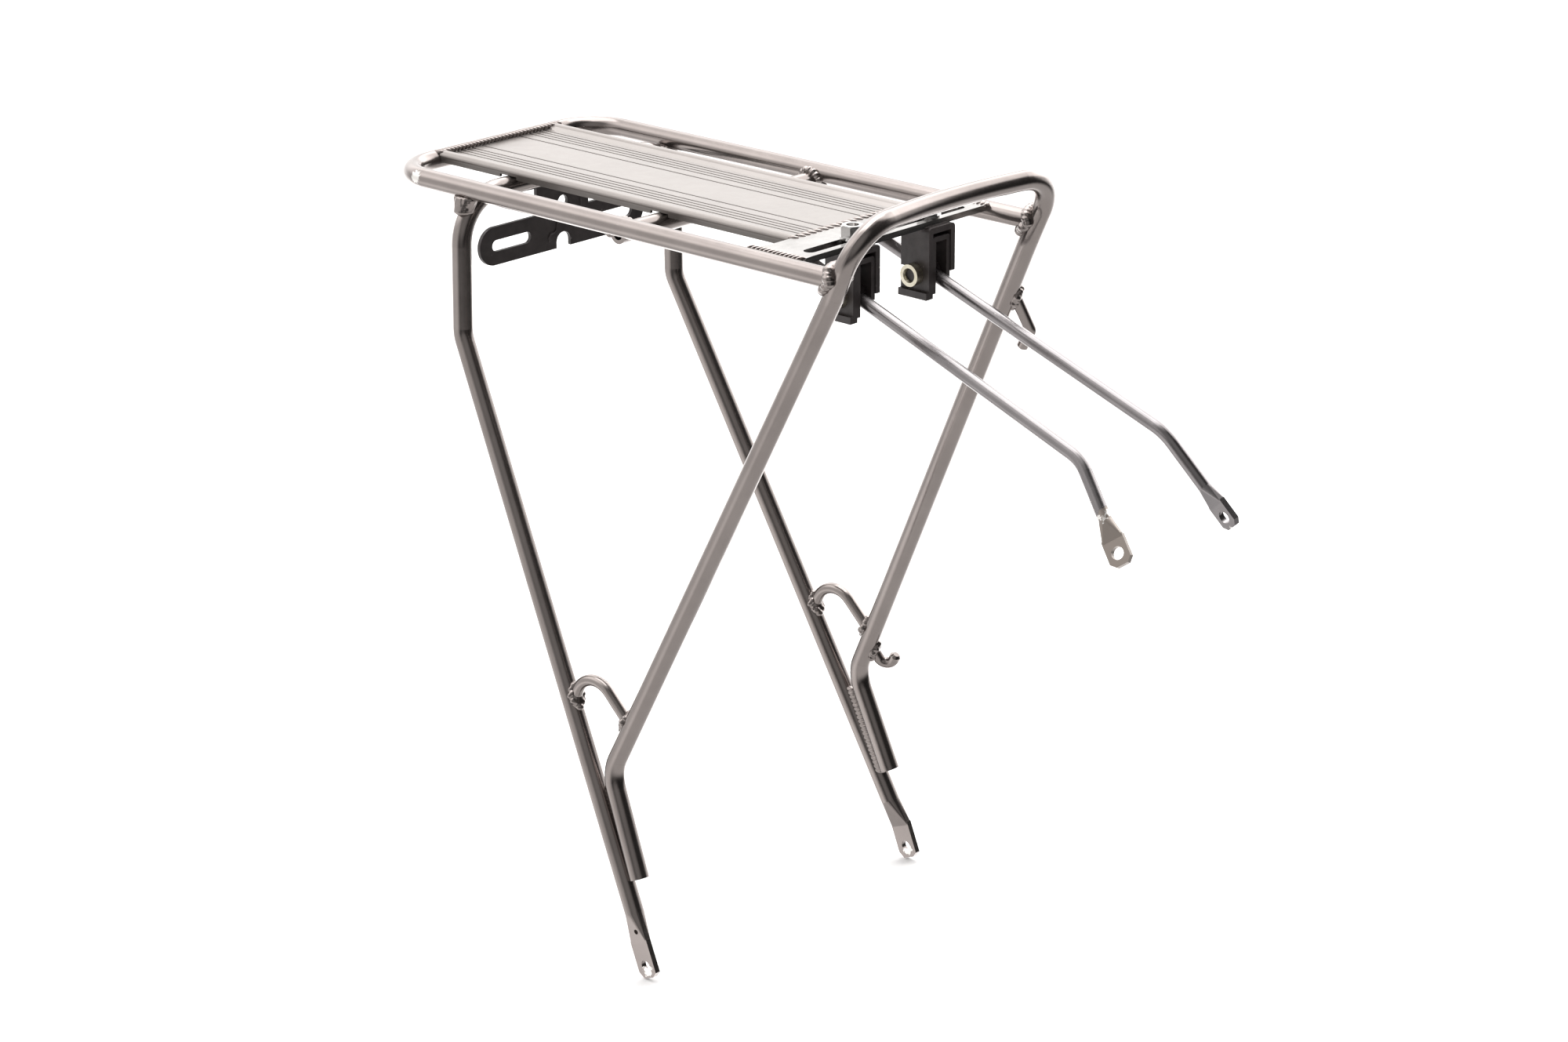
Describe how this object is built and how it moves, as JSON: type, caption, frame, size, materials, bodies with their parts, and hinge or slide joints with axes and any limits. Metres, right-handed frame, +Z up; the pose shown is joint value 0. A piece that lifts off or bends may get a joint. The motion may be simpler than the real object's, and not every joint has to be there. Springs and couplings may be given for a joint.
{
  "type": "bicycle rear pannier rack",
  "caption": "Welded tubular bicycle rear rack with a grooved deck, lamp bracket and two clamped stays that slide, swivel and tilt.",
  "frame": {"origin": "midway between the centres of the two lower eyelet holes, on the centre plane of the bicycle", "axes": "+X forward in the direction of travel, +Y to the bicycle's left, +Z up, with the deck level"},
  "size_m": [0.4607, 0.2036, 0.4083],
  "materials": {
    "tube_paint": "satin gunmetal paint over alloy tube",
    "deck_paint": "matte silver-grey paint on an alloy extrusion",
    "bright_plate": "bare bright alloy",
    "black_steel": "satin black coating on pressed steel",
    "chrome_hardware": "bright plated steel",
    "zinc_hardware": "pale zinc-plated steel",
    "stay_paint": "satin gunmetal paint on steel rod"
  },
  "bodies": {
    "frame": {"rail_loop": "tube_paint", "front_hoop": "tube_paint", "rear_hoop": "tube_paint", "leg_eyelet_left": "tube_paint", "leg_eyelet_right": "tube_paint", "cross_tube": "tube_paint", "deck_plate": "deck_paint", "clamp_plate": "bright_plate", "arch_left": "tube_paint", "arch_right": "tube_paint", "pump_peg_lower": "tube_paint", "pump_peg_upper": "tube_paint", "light_bracket": "black_steel", "bracket_rivets": "black_steel"},
    "carriage_left": {"slot_washer_left": "chrome_hardware", "slot_nut_left": "chrome_hardware", "slot_bolt_left": "chrome_hardware"},
    "clamp_left": {"clamp_outer_left": "black_steel", "clamp_inner_left": "black_steel"},
    "grip_left": {"draw_bolt_left": "black_steel", "draw_washer_left": "zinc_hardware", "draw_nut_left": "zinc_hardware"},
    "stay_arm_left": {"stay_left": "stay_paint", "stay_eye_left": "stay_paint"},
    "carriage_right": {"slot_washer_right": "chrome_hardware", "slot_nut_right": "chrome_hardware", "slot_bolt_right": "chrome_hardware"},
    "clamp_right": {"clamp_outer_right": "black_steel", "clamp_inner_right": "black_steel"},
    "grip_right": {"draw_bolt_right": "black_steel", "draw_washer_right": "zinc_hardware", "draw_nut_right": "zinc_hardware"},
    "stay_arm_right": {"stay_right": "stay_paint", "stay_eye_right": "stay_paint"}
  },
  "joints": [
    {"name": "slot_slide_left", "type": "slide", "parent": "frame", "child": "carriage_left", "axis": [0, 1, 0], "range_m": [-0.013, 0.0187]},
    {"name": "clamp_swivel_left", "type": "hinge", "parent": "carriage_left", "child": "clamp_left", "pos_m": [0.0695, 0.031, 0.36], "axis": [0, 0, 1], "range_deg": [-3, 12]},
    {"name": "stay_tilt_left", "type": "hinge", "parent": "clamp_left", "child": "grip_left", "pos_m": [0.0695, 0.031, 0.3475], "axis": [0, -1, 0], "range_deg": [0, 45]},
    {"name": "stay_slide_left", "type": "slide", "parent": "grip_left", "child": "stay_arm_left", "axis": [0.9444, 0, -0.3289], "range_m": [-0.005, 0.035]},
    {"name": "slot_slide_right", "type": "slide", "parent": "frame", "child": "carriage_right", "axis": [0, 1, 0], "range_m": [-0.026, 0.0055]},
    {"name": "clamp_swivel_right", "type": "hinge", "parent": "carriage_right", "child": "clamp_right", "pos_m": [0.0695, -0.0235, 0.36], "axis": [0, 0, 1], "range_deg": [-12, 3]},
    {"name": "stay_tilt_right", "type": "hinge", "parent": "clamp_right", "child": "grip_right", "pos_m": [0.0695, -0.0235, 0.3475], "axis": [0, -1, 0], "range_deg": [0, 45]},
    {"name": "stay_slide_right", "type": "slide", "parent": "grip_right", "child": "stay_arm_right", "axis": [0.9373, 0, -0.3486], "range_m": [0, 0.04]}
  ]
}
